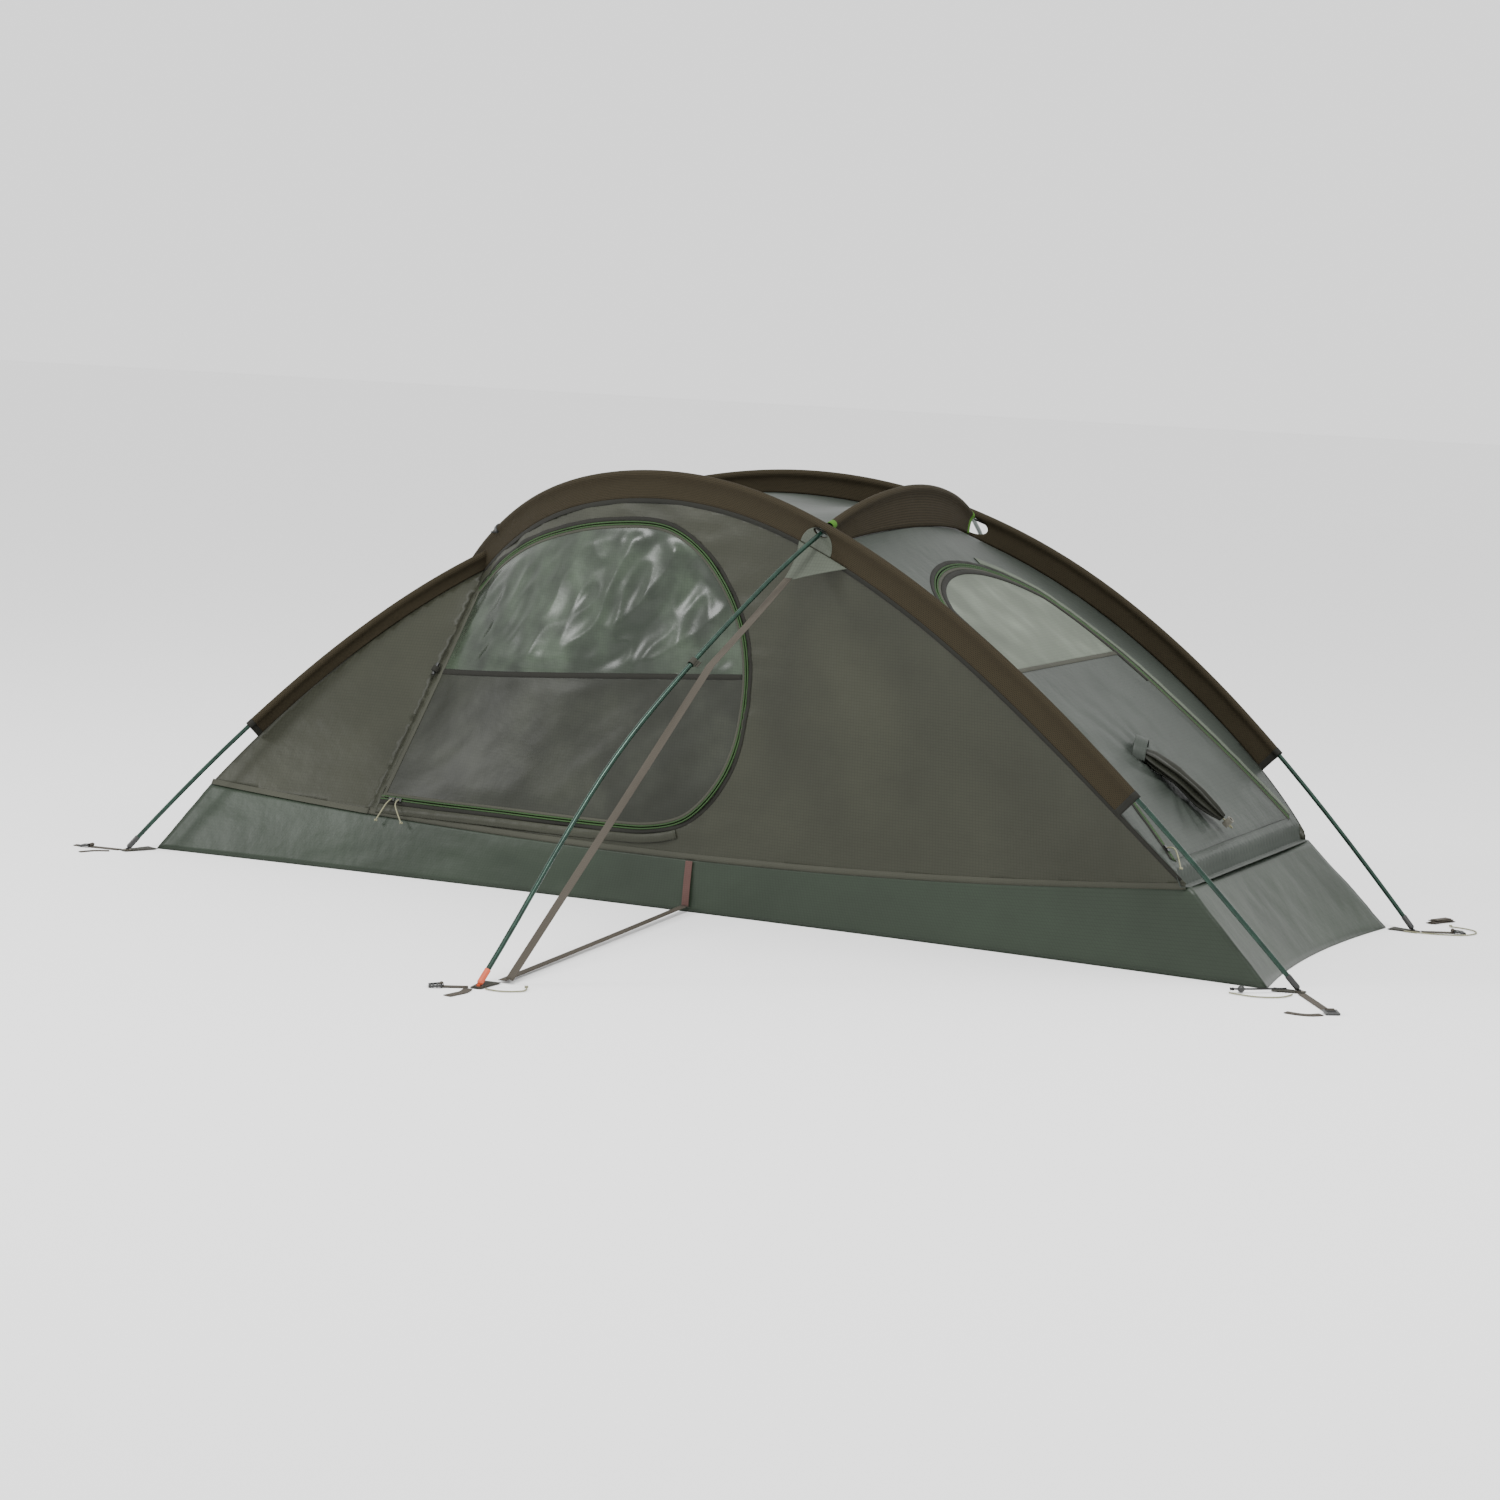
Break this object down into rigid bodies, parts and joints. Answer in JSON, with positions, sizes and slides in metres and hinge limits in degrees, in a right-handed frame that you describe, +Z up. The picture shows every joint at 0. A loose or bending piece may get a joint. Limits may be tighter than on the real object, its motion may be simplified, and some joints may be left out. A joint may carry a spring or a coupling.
{
  "type": "tent body on poles",
  "caption": "Low inner tent on crossed long poles and a short cross pole, with a zipped side door, a zipped arched head door, a tub groundsheet and buckled straps at the feet.",
  "frame": {"origin": "centre of the footprint on the ground, cords left out", "axes": "+X from the foot end towards the head end, +Y from the door side to the far side, +Z up"},
  "size_m": [2.5273, 2.5822, 0.7873],
  "materials": {
    "pole_tube": "satin anodised",
    "ferrule": "satin",
    "shock_cord": "woven elastic",
    "wall_cloth": "thin ripstop",
    "film": "glossy translucent coated cloth",
    "window_mesh": "fine pale mesh",
    "leaf_cloth": "thin ripstop, a paler grey green",
    "tub_cloth": "heavier coated cloth",
    "zip": "green coil zip",
    "sleeve_mesh": "brown olive honeycomb mesh",
    "binding_dark": "folded binding",
    "binding_green": "folded binding, bright green",
    "tip_black": "moulded",
    "tip_orange": "moulded",
    "grommet_metal": "dull plated",
    "webbing": "woven tape",
    "webbing_dark": "woven tape",
    "webbing_pale": "woven tape",
    "buckle_black": "moulded",
    "slider_black": "enamelled",
    "cord_beige": "braided cord",
    "elastic_black": "braided elastic",
    "vent_cloth": "gathered thin cloth"
  },
  "bodies": {
    "tent": {"buckle_straps": "webbing", "corner_cord": "cord_beige", "corner_elastic": "elastic_black", "door_wall": "wall_cloth", "foot_gores": "wall_cloth", "foot_panel": "wall_cloth", "foot_tabs": "webbing_dark", "grommets": "grommet_metal", "groundsheet_floor": "tub_cloth", "groundsheet_walls": "tub_cloth", "gussets": "wall_cloth", "head_panel": "wall_cloth", "outrigger_straps": "webbing", "plain_wall": "wall_cloth", "pole_a_tubes": "pole_tube", "pole_b_tubes": "pole_tube", "pole_c_tubes": "pole_tube", "pole_ferrules": "ferrule", "pole_shock_cords": "shock_cord", "pole_ties": "webbing_dark", "pole_tips": "tip_black", "rear_corner_cord": "cord_beige", "roof_panel": "wall_cloth", "short_pole_tips": "tip_orange", "side_cord": "cord_beige", "sleeve_a": "sleeve_mesh", "sleeve_b": "sleeve_mesh", "sleeve_c": "sleeve_mesh", "sleeve_c_bindings": "binding_green", "sleeve_end_bindings": "binding_dark", "sleeve_hook": "buckle_black", "strap_tails": "webbing_dark", "wall_tapes": "webbing_pale", "zip_tent_halves": "zip"},
    "near_door": {"door_leaf_lower": "wall_cloth", "door_leaf_window": "film", "door_zip_leaf_half": "zip"},
    "head_door": {"head_leaf_window": "window_mesh", "head_leaf_lower": "leaf_cloth", "head_zip_leaf_half": "zip", "vent_sock": "vent_cloth", "vent_cord": "cord_beige"},
    "cord_lock": {"cord_lock_case": "buckle_black"},
    "cord_lock_button": {"cord_lock_plunger": "buckle_black"},
    "left_door_slider": {"door_slider_left": "slider_black", "door_pull_left": "cord_beige"},
    "right_door_slider": {"door_slider_right": "slider_black", "door_pull_right": "cord_beige"},
    "head_zip_slider": {"head_slider": "slider_black", "head_pull": "cord_beige"},
    "ball": {"ball_toggle": "buckle_black"},
    "door_toggle": {"roll_up_toggle": "buckle_black", "toggle_loop": "elastic_black"},
    "ladder_buckle_head_near": {"buckle_head_near": "buckle_black"},
    "ladder_buckle_head_far": {"buckle_head_far": "buckle_black"},
    "ladder_buckle_foot_near": {"buckle_foot_near": "buckle_black"},
    "ladder_buckle_foot_far": {"buckle_foot_far": "buckle_black"},
    "ladder_buckle_side_near": {"buckle_side_near": "buckle_black"},
    "ladder_buckle_side_far": {"buckle_side_far": "buckle_black"}
  },
  "joints": [
    {"name": "near_door_swing", "type": "hinge", "parent": "tent", "child": "near_door", "pos_m": [-0.676, -0.31156, 0.1365], "axis": [-0.1074, -0.5437, -0.8324], "range_deg": [0, 105]},
    {"name": "head_door_swing", "type": "hinge", "parent": "tent", "child": "head_door", "pos_m": [0.908, 0, 0.19162], "axis": [0, 1, 0], "range_deg": [0, 85]},
    {"name": "right_door_slider_run", "type": "slide", "parent": "tent", "child": "right_door_slider", "axis": [0.9984, -0.0559, 0], "range_m": [0, 0.09]},
    {"name": "left_door_slider_run", "type": "slide", "parent": "tent", "child": "left_door_slider", "axis": [0.9984, -0.0559, 0], "range_m": [0, 0.09]},
    {"name": "head_slider_run", "type": "slide", "parent": "tent", "child": "head_zip_slider", "axis": [-0.6986, 0.2116, 0.6835], "range_m": [0, 0.08]},
    {"name": "cord_lock_slide", "type": "slide", "parent": "head_door", "child": "cord_lock", "axis": [0.6923, 0.3195, -0.647], "range_m": [-0.002, 0]},
    {"name": "cord_lock_press", "type": "slide", "parent": "cord_lock", "child": "cord_lock_button", "axis": [-0.7129, 0, -0.7013], "range_m": [0, 0.002], "stiffness_N_per_m": 250, "springref_m": -0.002},
    {"name": "ball_toggle_slide", "type": "slide", "parent": "tent", "child": "ball", "axis": [-0.8096, -0.587, 0], "range_m": [-0.005, 0.006]},
    {"name": "roll_up_toggle_turn", "type": "hinge", "parent": "tent", "child": "door_toggle", "pos_m": [-0.66296, -0.15213, 0.37187], "axis": [-0.5356, -0.6626, 0.5236], "range_deg": [-90, 90]},
    {"name": "buckle_tilt_head_near", "type": "hinge", "parent": "tent", "child": "ladder_buckle_head_near", "pos_m": [1.2417, -0.50338, 0.0041], "axis": [0.8336, 0.5524, 0], "range_deg": [-110, 0]},
    {"name": "buckle_tilt_head_far", "type": "hinge", "parent": "tent", "child": "ladder_buckle_head_far", "pos_m": [1.21589, 0.40287, 0.0041], "axis": [-0.4983, 0.867, 0], "range_deg": [-110, 0]},
    {"name": "buckle_tilt_foot_near", "type": "hinge", "parent": "tent", "child": "ladder_buckle_foot_near", "pos_m": [-1.22844, -0.47441, 0.0041], "axis": [0.1191, -0.9929, 0], "range_deg": [-110, 0]},
    {"name": "buckle_tilt_foot_far", "type": "hinge", "parent": "tent", "child": "ladder_buckle_foot_far", "pos_m": [-1.22844, 0.47441, 0.0041], "axis": [-0.1191, -0.9929, 0], "range_deg": [-110, 0]},
    {"name": "buckle_tilt_side_near", "type": "hinge", "parent": "tent", "child": "ladder_buckle_side_near", "pos_m": [0.01278, -1.23069, 0.0041], "axis": [0.5291, -0.8486, 0], "range_deg": [-110, 0]},
    {"name": "buckle_tilt_side_far", "type": "hinge", "parent": "tent", "child": "ladder_buckle_side_far", "pos_m": [0.01278, 1.23069, 0.0041], "axis": [-0.5291, -0.8486, 0], "range_deg": [-110, 0]}
  ],
  "couplings": [
    {"joint": "left_door_slider_run", "follows": "right_door_slider_run", "ratio": 1}
  ]
}
